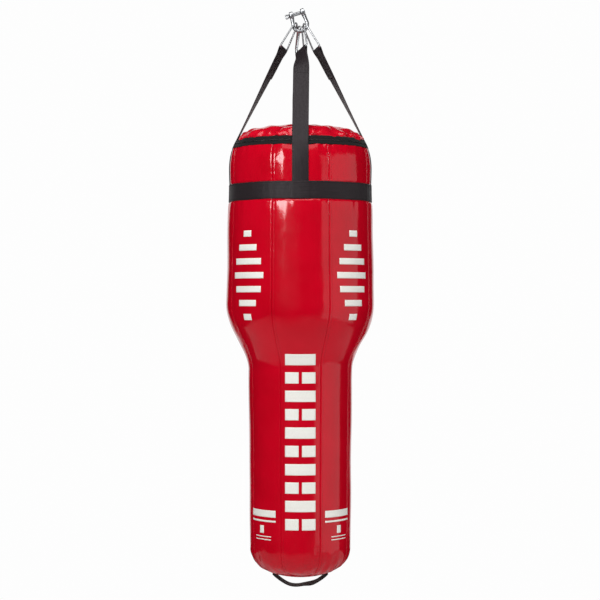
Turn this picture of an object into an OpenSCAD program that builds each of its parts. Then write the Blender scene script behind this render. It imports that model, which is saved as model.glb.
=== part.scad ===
// Hanging angle bag: a padded vinyl heavy bag with a wide upper part, a taper and a narrow lower part. It hangs
// on four webbing straps, four triangle rings and one bow shackle.
// Millimetres, +Z up. The origin is on the axis of the shackle's pin, straight above the bag's own axis, so
// every height is negative. The bag's front faces -Y.

/* [Shackle] */
// Diameter of the pin's shank
pin_d = 10; // [9:0.5:11]
// Diameter of the bow's rod
rod_d = 10; // [9:0.5:10]
// Clear width between the two ears
jaw_w = 22; // [20:1:24]
// Outside diameter of an ear
ear_d = 21; // [19:0.5:23]
// Width of an ear along the pin
ear_t = 10.5; // [9:0.5:11]
// Radius of the bow to the middle of its rod
bow_r = 20; // [20:0.5:22]
// Distance from the pin's axis to the centre of the bow's arc
bow_drop = 31; // [26:0.5:33]
// Lean of the shackle in the plane of its bow, in degrees
shackle_lean = 17; // [14:1:20]

/* [Triangle rings] */
// Diameter of the wire
wire_d = 5; // [4:0.5:5]
// Radius of the round apex to the middle of the wire
apex_r = 14; // [14:0.5:15]
// Radius of the two corners to the middle of the wire
corner_r = 6; // [5:0.5:8]
// Clear width along the straight side
ring_w = 48; // [47:1:52]
// Distance from the bow's rod to the straight side
ring_len = 67; // [62:1:72]

/* [Webbing] */
// Width of the hanging straps
strap_w = 45; // [40:1:46]
// Thickness of the webbing
strap_t = 2; // [1.5:0.1:2]
// Length of the strap end that is folded back and sewn
fold_back = 90; // [70:5:120]
// Height of the band sewn round the shell
band_h = 48; // [40:1:50]
// Depth below the origin of the band's middle
band_depth = 511; // [500:1:530]

/* [Shell] */
// Thickness of the vinyl shell
shell_t = 2; // [1.5:0.5:3]
// Radius at the lower edge of the zip
rim_r = 193; // [190:1:195]
// Radius just below the rounded shoulder
upper_r = 200.3; // [198:0.1:202]
// Radius at the top of the taper
wide_r = 207.5; // [205:0.5:210]
// Radius at the bottom of the taper
narrow_r = 145.5; // [135:0.5:150]
// Radius where the rounded base starts
base_r = 141; // [130:0.5:145]
// Radius of the round piece that closes the base
disc_r = 77; // [60:1:90]

/* [Depths below the origin] */
// Lower edge of the zip
rim_depth = 386; // [384:1:390]
// Lower end of the rounded shoulder
shoulder_depth = 446; // [436:1:456]
// Top of the taper
taper_top = 820; // [790:5:850]
// Bottom of the taper
taper_bottom = 1005; // [980:5:1040]
// Start of the rounded base
base_top = 1500; // [1480:5:1510]
// Height of the rounded base
base_h = 89; // [80:1:95]

/* [Top cover] */
// Crown of the stuffed cover above the zip
cover_h = 43; // [35:1:48]
// Thickness of the gathered cover
cover_t = 2.5; // [1.5:0.5:3]

/* [Bottom loop] */
// Half of the loop's span
loop_reach = 76; // [60:1:77]
// How far the loop hangs below its ends
loop_sag = 33; // [28:1:40]

/* [Filling] */
// Thickness of the foam liner
liner_t = 18; // [12:1:25]

/* [Hidden] */
$fn = 96;
fit_gap = 0.08;
sewn_gap = 0.3;

// Heights of the shackle and of the rim
arc_z = -bow_drop / cos(shackle_lean);
jaw_offset = bow_drop * tan(shackle_lean);
wire_r = wire_d / 2;

// The zip lies on a slope between the shell's rim and the cover's edge.
zip_rise = 24;
zip_run = 13;
zip_slope = atan2(zip_run, zip_rise);
zip_len = norm([zip_rise, zip_run]);
zip_mid = [rim_r - zip_run / 2, -rim_depth + zip_rise / 2];
cover_r = rim_r - zip_run;
cover_z = -rim_depth + zip_rise;
tooth_w = 5.5;
tooth_t = 3.2;
tape_t = 1.2;

// Straps: the direction that each one faces, in degrees from +X, then its ring's place on the bow's arc and its
// ring's turn about its own length. The four places keep the wires clear of each other.
STRAPS = [
    ["front", 270, 11.8, -39.4],
    ["left", 180, -61, 20],
    ["back", 90, -1.7, -28.1],
    ["right", 0, 55.1, -19.9]
];

// ---- vectors and placing ----

function unit(v) = v / norm(v);
function around(v, axis, a) = v * cos(a) + cross(axis, v) * sin(a);
function facing(a) = [cos(a), sin(a), 0];
function mix(a, b, t) = a + (b - a) * t;
function smooth(t) = t * t * (3 - 2 * t);

// Puts a shape's own X, Y and Z on three given directions.
module in_frame(at, x, y, z) {
    multmatrix([[x[0], y[0], z[0], at[0]], [x[1], y[1], z[1], at[1]], [x[2], y[2], z[2], at[2]], [0, 0, 0, 1]])
        children();
}

// Points of an arc in a plane, from angle a0 to a1
function arc(at, r, a0, a1, n) = [for (i = [0:n]) at + r * [cos(mix(a0, a1, i / n)), sin(mix(a0, a1, i / n))]];

// A round rod of diameter d, bent along a path of [x, z] points
module bent_rod(path, d, closed = false) {
    n = len(path);
    sides = 12;
    function way(i) = unit(closed ? path[(i + 1) % n] - path[(i + n - 1) % n] :
                                    path[min(i + 1, n - 1)] - path[max(i - 1, 0)]);
    points = [for (i = [0:n - 1]) for (k = [0:sides - 1])
        let (in = d / 2 * cos(360 * k / sides), out = d / 2 * sin(360 * k / sides))
            [path[i][0] - way(i)[1] * in, out, path[i][1] + way(i)[0] * in]];
    skin = [for (i = [0:closed ? n - 1 : n - 2]) for (k = [0:sides - 1]) for (half = [0, 1])
        let (a = i * sides + k, b = i * sides + (k + 1) % sides,
             c = (i + 1) % n * sides + k, e = (i + 1) % n * sides + (k + 1) % sides)
            half == 0 ? [a, b, c] : [b, e, c]];
    caps = closed ? [] : [[for (k = [sides - 1:-1:0]) k], [for (k = [0:sides - 1]) (n - 1) * sides + k]];
    polyhedron(points, concat(skin, caps));
}

// ---- the shell's outline ----

// Outer radius of the shell at height z, above the rounded base
function taper_part(t) = smooth(pow(t, 1.15));
function side_r(z) =
    z > -shoulder_depth ?
        upper_r - (upper_r - rim_r) * pow((z + shoulder_depth) / (shoulder_depth - rim_depth), 2) :
    z > -taper_top ?
        mix(upper_r, wide_r, (-z - shoulder_depth) / (taper_top - shoulder_depth)) :
    z > -taper_bottom ?
        mix(wide_r, narrow_r, taper_part((-z - taper_top) / (taper_bottom - taper_top))) :
        mix(narrow_r, base_r, (-z - taper_bottom) / (base_top - taper_bottom));

// The rounded base is a superellipse. a is 0 at its start and 90 on the bag's axis.
base_power = 2.3;
function base_point(a, inset) = [
    (base_r - inset) * pow(cos(a), 2 / base_power),
    -base_top - (base_h - inset) * pow(sin(a), 2 / base_power)
];
function base_angle(r, inset) = acos(pow(r / (base_r - inset), base_power / 2));

taper_steps = 12;
base_steps = 12;
side_z = concat(
    [for (i = [0:4]) -mix(rim_depth, shoulder_depth, i / 4)],
    [for (i = [0:taper_steps]) -mix(taper_top, taper_bottom, i / taper_steps)],
    [-base_top]);

// The outline, pushed in by inset, from the height top down to the base's angle a
function outline(inset, top, a) = concat(
    [[side_r(top) - inset, top]],
    [for (z = side_z) if (z < top - 1) [side_r(z) - inset, z]],
    [for (i = [1:base_steps]) base_point(a * i / base_steps, inset)]);
function reversed(list) = [for (i = [len(list) - 1:-1:0]) list[i]];

// A solid body of revolution that fills the outline
module filled(inset, top) {
    rotate_extrude()
        polygon(concat([[0, top]], outline(inset, top, 89.9), [[0, base_point(90, inset)[1]]]));
}

// ---- shackle ----

module shackle_frame() {
    translate([-jaw_offset * cos(shackle_lean), 0, -jaw_offset * sin(shackle_lean)])
        rotate([0, -shackle_lean, 0])
            children();
}

ear_mid = jaw_w / 2 + ear_t / 2;
ear_end = jaw_w / 2 + ear_t;
// Angle past the half circle where the bow's straight legs leave its arc
leg_lean = asin(bow_r / norm([bow_drop, ear_mid])) - atan2(ear_mid, bow_drop);

module shackle_bow() {
    color("silver")
        shackle_frame()
            difference() {
                union() {
                    bent_rod(concat([[-ear_mid, 0]],
                                    arc([0, -bow_drop], bow_r, 180 - leg_lean, 360 + leg_lean, 28),
                                    [[ear_mid, 0]]), rod_d);
                    for (side = [-1, 1])
                        translate([side * ear_mid - ear_t / 2, 0, 0])
                            rotate([0, 90, 0])
                                cylinder(d = ear_d, h = ear_t);
                }
                rotate([0, 90, 0])
                    cylinder(r = pin_d / 2 + fit_gap, h = 3 * ear_end, center = true);
            }
}

module shackle_pin() {
    collar_gap = 1.2;
    collar_t = 2.5;
    eye_l = 10;
    eye_h = 14;
    eye_t = 5;
    eye_hole_d = 5;
    tip = 1.5;
    head = -ear_end - collar_gap;
    color("silver")
        shackle_frame() {
            translate([head, 0, 0])
                rotate([0, 90, 0])
                    cylinder(d = pin_d, h = 2 * ear_end + collar_gap + tip);
            translate([head - collar_t, 0, 0])
                rotate([0, 90, 0])
                    cylinder(d = pin_d + 2, h = collar_t);
            difference() {
                translate([head - collar_t - eye_l, -eye_t / 2, -eye_h / 2])
                    cube([eye_l, eye_t, eye_h]);
                translate([head - collar_t - eye_l / 2, 0, 0])
                    rotate([90, 0, 0])
                        cylinder(d = eye_hole_d, h = 2 * eye_t, center = true);
            }
        }
}

// ---- rings ----

// Where strap s passes the cover's edge, midway between its two layers
rim_stand_off = 2.2;
function rim_point(s) = facing(s[1]) * (cover_r + rim_stand_off) + [0, 0, cover_z];
function hook_point(s) = [bow_r * sin(s[2]), 0, arc_z - bow_r * cos(s[2])];
function pull(s) = unit(rim_point(s) - hook_point(s));
// Direction round the bag of the strap's width, and of the ring's straight side
function rim_way(s) = facing(s[1] + 90);
function bar_way(s) =
    let (v = around(unit(cross(pull(s), [cos(s[2]), 0, sin(s[2])])), pull(s), s[3]))
        v * (v * rim_way(s) < 0 ? -1 : 1);
function bar_middle(s) = hook_point(s) + ring_len * pull(s);

ring_corner = [ring_w / 2 + wire_r - corner_r, ring_len - corner_r];
ring_lean = atan2(ring_corner[0], ring_corner[1]) - asin((apex_r - corner_r) / norm(ring_corner));

module ring(s) {
    right = [ring_corner[0], -ring_corner[1]];
    left = [-ring_corner[0], -ring_corner[1]];
    color("gainsboro")
        in_frame(hook_point(s), bar_way(s), cross(-pull(s), bar_way(s)), -pull(s))
            bent_rod(concat(arc([0, 0], apex_r, ring_lean, 180 - ring_lean, 16),
                            arc(left, corner_r, 180 - ring_lean, 270, 6),
                            arc(right, corner_r, -90, ring_lean, 6)), wire_d, closed = true);
}

// ---- straps ----

// A flat band through stations of [middle, width direction, thickness direction]
module ribbon(stations, w, t) {
    corners = [[-w / 2, -t / 2], [w / 2, -t / 2], [w / 2, t / 2], [-w / 2, t / 2]];
    n = len(stations);
    points = [for (p = stations) for (c = corners) p[0] + p[1] * c[0] + p[2] * c[1]];
    // Opposite faces are split along the same diagonal, so that a twist leaves the thickness alone.
    sides = [for (i = [0:n - 2]) for (j = [0:3]) for (half = [0, 1])
        let (a = 4 * i + j, b = 4 * i + (j + 1) % 4)
            half == 0 ? [a, a + 4, j < 2 ? b : b + 4] : j < 2 ? [b, a + 4, b + 4] : [a, b + 4, b]];
    polyhedron(points, concat([[0, 1, 2], [0, 2, 3]], sides,
                              [[4 * n - 4, 4 * n - 2, 4 * n - 3], [4 * n - 4, 4 * n - 1, 4 * n - 2]]));
}

layer_gap = 0.4;
layer = strap_t / 2 + layer_gap / 2;
loop_r = wire_r + 0.6 + strap_t / 2;
merge = 26;
flat_end = rim_depth + 16;
lay_gap = 0.2;

// Width direction at the part t of the way from the ring to the rim, and the direction away from the bag's axis
function twist(s) = atan2(cross(bar_way(s), rim_way(s)) * pull(s), bar_way(s) * rim_way(s));
function width_at(s, t) = around(bar_way(s), pull(s), twist(s) * smooth(t));
function outward(s, t) = cross(pull(s), width_at(s, t));

function run_length(s) = norm(rim_point(s) - bar_middle(s));
function run_station(s, d, side) =
    let (t = d / run_length(s), off = d < merge ? mix(loop_r, layer, smooth(d / merge)) : layer)
        [bar_middle(s) + d * pull(s) + side * off * outward(s, t), width_at(s, t), outward(s, t)];

run_steps = 14;
function strap_stations(s) = concat(
    [for (i = [0:5]) run_station(s, fold_back * (1 - i / 5), -1)],
    [for (a = [150:-30:30])
        [bar_middle(s) + loop_r * (cos(a) * outward(s, 0) - sin(a) * pull(s)), width_at(s, 0),
         cos(a) * outward(s, 0) - sin(a) * pull(s)]],
    [for (d = [0:merge / 3:merge]) run_station(s, d, 1)],
    [for (i = [1:run_steps]) run_station(s, mix(merge, run_length(s), i / run_steps), 1)],
    [for (p = [[rim_r + 2.6, -rim_depth], [side_r(-flat_end) + 1.6, -flat_end]])
        [facing(s[1]) * p[0] + [0, 0, p[1]], rim_way(s), unit(facing(s[1]) * zip_rise + [0, 0, zip_run])]]);

// The loop stations face their own way, so the folded layer keeps its thickness on the inside.
module strap(s) {
    half = asin(strap_w / 2 / upper_r);
    stations = strap_stations(s);
    fold = [for (p = [0:5]) [stations[p][0], stations[p][1], -stations[p][2]]];
    rest = [for (p = [6:len(stations) - 1]) stations[p]];
    top = -flat_end + 5;
    zs = concat([top], [for (z = side_z) if (z < top - 1 && z > -band_depth + band_h / 2) z],
                [-band_depth - band_h / 2]);
    color("#2f292b") {
        ribbon(concat(fold, rest), strap_w, strap_t);
        rotate([0, 0, s[1] - half])
            rotate_extrude(angle = 2 * half)
                polygon(concat([for (z = zs) [side_r(z) + lay_gap, z]],
                               reversed([for (z = zs) [side_r(z) + lay_gap + strap_t, z]])));
    }
}

// The band runs on the shell and slopes out over each strap.
module waist_band() {
    t = 1.6;
    over = asin(strap_w / 2 / upper_r) + 0.25;
    slope = 1.5;
    low = side_r(-band_depth - band_h / 2) + lay_gap;
    high = low + strap_t + lay_gap;
    function edge(out) = [for (a = [0:90:270]) each concat(
        arc([0, 0], high + out, a - over, a + over, 6),
        arc([0, 0], low + out, a + over + slope, a + 90 - over - slope, 30))];
    color("#2f292b")
        translate([0, 0, -band_depth - band_h / 2])
            linear_extrude(height = band_h)
                difference() {
                    polygon(edge(t));
                    polygon(edge(0));
                }
}

// ---- top cover and zip ----

module top_cover() {
    steps = 16;
    outer = [for (i = [0:steps]) [(cover_r - sewn_gap) * cos(90 * i / steps), cover_z + cover_h * sin(90 * i / steps)]];
    inner = [for (i = [steps:-1:0])
        [(cover_r - sewn_gap - cover_t) * cos(90 * i / steps), cover_z + (cover_h - cover_t) * sin(90 * i / steps)]];
    color("#c4001f")
        rotate_extrude()
            polygon(concat(outer, inner));
}

// A shape drawn with X up the zip's slope and Y out of it, turned round the bag
module along_zip(a0, a1) {
    rotate([0, 0, a0])
        rotate_extrude(angle = a1 - a0)
            translate(zip_mid)
                rotate([0, 0, 90 + zip_slope])
                    scale([1, -1, 1])
                        children();
}

// One tape: side is -1 for the shell's and 1 for the cover's
module zip_tape(side) {
    start = tooth_w / 2 + sewn_gap;
    color("#141314")
        along_zip(0, 360)
            translate([side > 0 ? start : -zip_len / 2 + sewn_gap, -tape_t / 2])
                square([zip_len / 2 - sewn_gap - start, tape_t]);
}

module zip_teeth() {
    color("#1c1b1c")
        along_zip(0, 360)
            square([tooth_w, tooth_t], center = true);
}

// Section of a metal piece that saddles the teeth: w wide, up to height h above the tape
module saddle(w, h) {
    clear = 0.4;
    difference() {
        translate([-w / 2, tape_t / 2 + clear])
            square([w, h - tape_t / 2 - clear]);
        square([tooth_w + 2 * clear, tooth_t + 2 * clear], center = true);
    }
}

slider_at = 75;
slider_half = 2.2;
pivot_h = 7.2;
pivot_d = 1.6;

// Local X runs round the zip, Y up its slope and Z out of it.
module at_slider() {
    rotate([0, 0, slider_at])
        in_frame([zip_mid[0], 0, zip_mid[1]], [0, 1, 0], [-sin(zip_slope), 0, cos(zip_slope)],
                 [cos(zip_slope), 0, sin(zip_slope)])
            children();
}

module zip_slider() {
    body_w = 12;
    body_h = 5;
    lug_w = 1.5;
    lug_l = 4;
    lug_foot = body_h - 0.5;
    lug_top = pivot_h + 1.2;
    lug_y = 3.8;
    color("#3a3a3c") {
        along_zip(slider_at - slider_half, slider_at + slider_half)
            saddle(body_w, body_h);
        at_slider() {
            for (s = [-1, 1])
                translate([-lug_l / 2, s * lug_y - lug_w / 2, lug_foot])
                    cube([lug_l, lug_w, lug_top - lug_foot]);
            translate([0, 0, pivot_h])
                rotate([90, 0, 0])
                    cylinder(d = pivot_d, h = 2 * lug_y, center = true);
        }
    }
}

module zip_pull() {
    tab_l = 24;
    tab_w = 5.4;
    tab_t = 1.4;
    end_d = 9;
    grip_hole_d = 4;
    barrel_d = 3.6;
    color("#3a3a3c")
        at_slider()
            difference() {
                union() {
                    translate([0, 0, pivot_h])
                        rotate([90, 0, 0])
                            cylinder(d = barrel_d, h = tab_w, center = true);
                    translate([-tab_l, -tab_w / 2, pivot_h - tab_t / 2])
                        cube([tab_l, tab_w, tab_t]);
                    translate([-tab_l, 0, pivot_h - tab_t / 2])
                        cylinder(d = end_d, h = tab_t);
                }
                translate([0, 0, pivot_h])
                    rotate([90, 0, 0])
                        cylinder(r = pivot_d / 2 + fit_gap, h = 2 * tab_w, center = true);
                translate([-tab_l, 0, 0])
                    cylinder(d = grip_hole_d, h = 3 * pivot_h);
            }
}

module zip_stop() {
    stop_at = slider_at + 4.4;
    color("#3a3a3c")
        along_zip(stop_at, stop_at + 1)
            saddle(8, 2.8);
}

// ---- shell ----

// One of the eight gores: the first faces the front, and the others follow round the bag.
module panel(i) {
    seam_gap = 0.05;
    gore = 45;
    start = 270 + gore * (i - 1.5);
    color("#c4001f")
        rotate([0, 0, start + seam_gap])
            rotate_extrude(angle = gore - 2 * seam_gap)
                polygon(concat(outline(0, -rim_depth, base_angle(disc_r, 0)),
                               reversed(outline(shell_t, -rim_depth, base_angle(disc_r, shell_t)))));
}

module bottom_disc() {
    steps = 8;
    r = disc_r - sewn_gap;
    outer = [for (i = [0:steps]) base_point(mix(base_angle(r, 0), 90, i / steps), 0)];
    inner = [for (i = [steps:-1:0]) base_point(mix(base_angle(r, shell_t), 90, i / steps), shell_t)];
    color("#b0001c")
        rotate_extrude()
            polygon(concat(outer, inner));
}

// ---- bottom loop ----

module bottom_loop() {
    steps = 16;
    foot_z = base_point(base_angle(loop_reach, 0), 0)[1] - strap_t / 2 - sewn_gap;
    xs = [for (i = [0:steps]) loop_reach * (2 * i / steps - 1)];
    function sag(x) = foot_z - loop_sag * (1 - pow(x / loop_reach, 2));
    function normal(x) = unit([-2 * loop_sag * x / pow(loop_reach, 2), 1]);
    color("#2f292b")
        rotate([90, 0, 0])
            linear_extrude(height = strap_w, center = true)
                polygon(concat([for (x = xs) [x, sag(x)] + normal(x) * strap_t / 2],
                               reversed([for (x = xs) [x, sag(x)] - normal(x) * strap_t / 2])));
}

module loop_backing() {
    t = 1.5;
    r = disc_r - 8;
    inset = shell_t + sewn_gap;
    steps = 8;
    outer = [for (i = [0:steps]) base_point(mix(base_angle(r, inset), 90, i / steps), inset)];
    inner = [for (i = [steps:-1:0]) base_point(mix(base_angle(r, inset + t), 90, i / steps), inset + t)];
    color("#2f292b")
        rotate_extrude()
            polygon(concat(outer, inner));
}

// ---- inside ----

liner_inset = shell_t + 2 * sewn_gap + 1.7;
sack_inset = liner_inset + liner_t + sewn_gap;
fill_inset = sack_inset + 1.2 + sewn_gap;
fill_top = -rim_depth - 14;

module foam_liner() {
    top = -rim_depth - 2;
    color("#8f9496")
        rotate_extrude()
            polygon(concat(outline(liner_inset, top, 89.9), [[0, base_point(90, liner_inset)[1]]],
                           [[0, base_point(90, liner_inset + liner_t)[1]]],
                           reversed(outline(liner_inset + liner_t, top, 89.9))));
}

module inner_sack() {
    color("#d8d2c0")
        difference() {
            filled(sack_inset, fill_top);
            translate([0, 0, sewn_gap])
                filled(fill_inset - sewn_gap, fill_top);
        }
}

module filling() {
    color("#9a9088")
        filled(fill_inset + sewn_gap, fill_top - sewn_gap);
}

module top_foam() {
    r = cover_r - sewn_gap - cover_t - 12;
    h = cover_h - cover_t - 6;
    steps = 10;
    color("#8f9496")
        rotate_extrude()
            polygon(concat([[0, fill_top + 1], [r, fill_top + 1]],
                           [for (i = [0:steps]) [r * cos(90 * i / steps), cover_z + h * sin(90 * i / steps)]]));
}

shackle_pin();
shackle_bow();
ring(STRAPS[0]);  // ring_front
ring(STRAPS[1]);  // ring_left
ring(STRAPS[2]);  // ring_back
ring(STRAPS[3]);  // ring_right
strap(STRAPS[0]);  // strap_front
strap(STRAPS[1]);  // strap_left
strap(STRAPS[2]);  // strap_back
strap(STRAPS[3]);  // strap_right
waist_band();
top_cover();
zip_tape(1);  // zip_tape_upper
zip_teeth();
zip_tape(-1);  // zip_tape_lower
zip_slider();
zip_pull();
zip_stop();
panel(1);  // panel_1
panel(2);  // panel_2
panel(3);  // panel_3
panel(4);  // panel_4
panel(5);  // panel_5
panel(6);  // panel_6
panel(7);  // panel_7
panel(8);  // panel_8
bottom_disc();
bottom_loop();
loop_backing();
foam_liner();
inner_sack();
filling();
top_foam();
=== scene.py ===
"""Hanging angle bag, the visual model. Metres, +Z up, the bag's front faces -Y.

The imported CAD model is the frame. Its hard small parts stay, and the soft and bent ones are replaced here by
detailed pieces that follow the same dimensions.
"""
import math

import bmesh
import bpy
import numpy as np
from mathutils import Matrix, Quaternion, Vector


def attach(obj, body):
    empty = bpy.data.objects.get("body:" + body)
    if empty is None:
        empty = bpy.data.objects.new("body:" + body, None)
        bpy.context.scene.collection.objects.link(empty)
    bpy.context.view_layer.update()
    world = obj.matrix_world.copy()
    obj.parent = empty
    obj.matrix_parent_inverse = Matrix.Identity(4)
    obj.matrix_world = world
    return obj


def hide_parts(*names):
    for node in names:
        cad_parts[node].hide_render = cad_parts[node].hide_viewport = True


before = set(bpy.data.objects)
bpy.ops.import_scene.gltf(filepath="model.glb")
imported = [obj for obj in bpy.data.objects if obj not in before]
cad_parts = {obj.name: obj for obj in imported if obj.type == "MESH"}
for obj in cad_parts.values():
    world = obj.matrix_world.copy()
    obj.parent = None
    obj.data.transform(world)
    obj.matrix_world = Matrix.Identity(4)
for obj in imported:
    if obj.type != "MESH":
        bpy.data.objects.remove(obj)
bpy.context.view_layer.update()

MM = 0.001

# ---- driving dimensions, the same as the CAD part's ----

RIM_R, UPPER_R, WIDE_R, NARROW_R, BASE_R, DISC_R = (v * MM for v in (193, 200.3, 207.5, 145.5, 141, 77))
RIM_Z, SHOULDER_Z, TAPER_TOP, TAPER_BOTTOM, BASE_Z = (-v * MM for v in (386, 446, 820, 1005, 1500))
BASE_H = 89 * MM
BASE_POWER = 2.3
SHELL_T = 2 * MM

ZIP_RISE, ZIP_RUN = 24 * MM, 13 * MM
ZIP_LEN = math.hypot(ZIP_RISE, ZIP_RUN)
COVER_R = RIM_R - ZIP_RUN
COVER_Z = RIM_Z + ZIP_RISE
COVER_H = 43 * MM
ZIP_MID = (RIM_R - ZIP_RUN / 2, RIM_Z + ZIP_RISE / 2)

BAND_TOP, BAND_BOTTOM = -487 * MM, -535 * MM
STRAP_W, STRAP_T = 45 * MM, 2 * MM
# How deep the taut straps press into the shell and its rim, and the band into the shell
STRAP_SINK, RIM_SINK, BAND_SINK = 1.6 * MM, 4 * MM, 1.6 * MM
FOLD_BACK = 90 * MM

PIN_R, ROD_R = 5 * MM, 5 * MM
BOW_R, BOW_DROP = 20 * MM, 31 * MM
JAW_W, EAR_R, EAR_T = 22 * MM, 10.5 * MM, 10.5 * MM
LEAN = math.radians(17)
ARC_Z = -BOW_DROP / math.cos(LEAN)

WIRE_R = 2.5 * MM
APEX_R, CORNER_R = 14 * MM, 6 * MM
RING_W, RING_LEN = 48 * MM, 67 * MM

LOOP_REACH, LOOP_SAG = 76 * MM, 33 * MM

# Name, the direction it faces, its ring's place on the bow and its ring's turn in degrees, and the share of
# its free run in which it turns flat
STRAPS = (
    ("front", 270, 11.8, -39.4, 0.28),
    ("left", 180, -61, 20, 1),
    ("back", 90, -1.7, -28.1, 0.6),
    ("right", 0, 55.1, -19.9, 1),
)
GORE = 45
FIRST_SEAM = 270 - GORE / 2
SEAM_GAP = 0.0006


# ---- small helpers ----

def unit(v):
    """The vector's direction, of length 1."""
    v = np.asarray(v, float)
    return v / np.linalg.norm(v)


def smooth(t):
    """A soft step from 0 to 1 while t goes from 0 to 1."""
    t = np.clip(t, 0, 1)
    return t * t * (3 - 2 * t)


def bell(x, width):
    """1 at x = 0, and falling away over about width."""
    return np.exp(-(x / width) ** 2)


def facing(degrees):
    """The level direction at an angle round the bag."""
    a = math.radians(degrees)
    return np.array([math.cos(a), math.sin(a), 0])


def around(v, axis, degrees):
    """A vector turned about an axis that it is square to."""
    a = math.radians(degrees)
    return v * math.cos(a) + np.cross(axis, v) * math.sin(a)


def turned(x, r, z):
    """Points at angle x round the bag's axis, radius r and height z."""
    return np.stack([r * np.cos(x), r * np.sin(x), z + 0 * x], -1)


def waves(x, seed, low, high, count=9):
    """A smooth irregular wave round the bag, about -1 to 1. low and high are its waves per turn."""
    rng = np.random.default_rng(seed)
    total = np.zeros_like(np.asarray(x, float))
    for _ in range(count):
        total += np.sin(rng.integers(low, high + 1) * x + rng.uniform(0, 2 * math.pi))
    return total / math.sqrt(count) * 0.8


def lumps(x, s, seed, turns, lengths, count=14):
    """A smooth irregular field over the angle x and the length s. lengths is its range of wave lengths."""
    rng = np.random.default_rng(seed)
    total = np.zeros(np.broadcast(x, s).shape)
    for _ in range(count):
        n = rng.integers(turns[0], turns[1] + 1)
        k = 2 * math.pi / rng.uniform(*lengths) * rng.choice((-1, 1))
        total += np.sin(n * x + k * s + rng.uniform(0, 2 * math.pi))
    return total / math.sqrt(count)


def face_outward(mesh):
    """Turns every face of a closed mesh outward."""
    bm = bmesh.new()
    bm.from_mesh(mesh)
    bmesh.ops.recalc_face_normals(bm, faces=bm.faces)
    bm.to_mesh(mesh)
    bm.free()


def piece(name, verts, faces, material, slot, node=None, fill=None, uvs=None, body="bag"):
    """A smooth closed mesh with its material and its body; slot is not used. uvs is one pair per vertex, in
    metres.

    node is the CAD node that it stands for. fill is not used."""
    mesh = bpy.data.meshes.new(name)
    mesh.from_pydata([tuple(v) for v in verts], [], faces)
    if uvs is not None:
        layer = mesh.uv_layers.new(name="UVMap")
        loops = np.empty(len(mesh.loops), int)
        mesh.loops.foreach_get("vertex_index", loops)
        layer.data.foreach_set("uv", np.asarray(uvs, float)[loops].ravel())
    mesh.polygons.foreach_set("use_smooth", [True] * len(mesh.polygons))
    mesh.materials.append(material)
    face_outward(mesh)
    obj = bpy.data.objects.new(name, mesh)
    bpy.context.scene.collection.objects.link(obj)
    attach(obj, body)
    if node:
        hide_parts(node)


def grid_faces(rows, cols, wrap_rows=False, wrap_cols=False, start=0, flip=False):
    """Four-sided faces of a grid of points, numbered row by row from start. A wrapped side joins its ends."""
    faces = []
    for i in range(rows if wrap_rows else rows - 1):
        for j in range(cols if wrap_cols else cols - 1):
            a, b = i * cols + j, i * cols + (j + 1) % cols
            c, d = (i + 1) % rows * cols + (j + 1) % cols, (i + 1) % rows * cols + j
            quad = (a, b, c, d)
            faces.append(tuple(start + q for q in (reversed(quad) if flip else quad)))
    return faces


def skin_mesh(outer, inner, wrap):
    """Vertices and faces of a closed thin skin from two grids of points, rows x columns x 3.

    wrap joins its last column to its first."""
    rows, cols = outer.shape[:2]
    n = rows * cols
    faces = grid_faces(rows, cols, wrap_cols=wrap)
    faces += grid_faces(rows, cols, wrap_cols=wrap, start=n, flip=True)
    for i, out in ((0, False), (rows - 1, True)):
        for j in range(cols if wrap else cols - 1):
            a, b = i * cols + j, i * cols + (j + 1) % cols
            faces.append((a, b, b + n, a + n) if out else (b, a, a + n, b + n))
    if not wrap:
        for j, out in ((0, True), (cols - 1, False)):
            for i in range(rows - 1):
                a, b = i * cols + j, (i + 1) * cols + j
                faces.append((a, b, b + n, a + n) if out else (b, a, a + n, b + n))
    return np.concatenate([outer.reshape(-1, 3), inner.reshape(-1, 3)]), faces


def slab(name, outer, inner, material, slot, node, uv=None, fill=None, wrap=True):
    """A piece made as a thin skin. uv is one pair for each point of its grids, in metres."""
    verts, faces = skin_mesh(outer, inner, wrap)
    uvs = None if uv is None else np.concatenate([uv.reshape(-1, 2)] * 2)
    piece(name, verts, faces, material, slot, node, fill, uvs)


def joined(parts):
    """One mesh from several pairs of vertices and faces."""
    verts, faces = [], []
    for v, f in parts:
        faces += [tuple(i + len(verts) for i in face) for face in f]
        verts += list(v)
    return verts, faces


def frames_along(path, closed):
    """Two steady side directions along a path of points."""
    path = np.asarray(path, float)
    if closed:
        tangents = np.roll(path, -1, 0) - np.roll(path, 1, 0)
    else:
        tangents = np.gradient(path, axis=0)
    tangents /= np.linalg.norm(tangents, axis=1)[:, None]
    side = np.cross(tangents[0], [0, 1, 0] if abs(tangents[0][1]) < 0.9 else [1, 0, 0])
    sides = []
    for t in tangents:
        side = unit(side - t * side.dot(t))
        sides.append(side)
    sides = np.array(sides)
    return sides, np.cross(tangents, sides)


def rod_mesh(path, radius, closed=False, around_n=20):
    """Vertices and faces of a round rod along a path."""
    path = np.asarray(path, float)
    u, v = frames_along(path, closed)
    a = np.linspace(0, 2 * math.pi, around_n, endpoint=False)
    ring = u[:, None] * np.cos(a)[None, :, None] + v[:, None] * np.sin(a)[None, :, None]
    radius = np.broadcast_to(np.asarray(radius, float), len(path))
    verts = (path[:, None] + ring * radius[:, None, None]).reshape(-1, 3)
    faces = grid_faces(len(path), around_n, closed, True, flip=True)
    if not closed:
        faces += [tuple(range(around_n)), tuple(reversed(range(len(verts) - around_n, len(verts))))]
    return verts, faces


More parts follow.
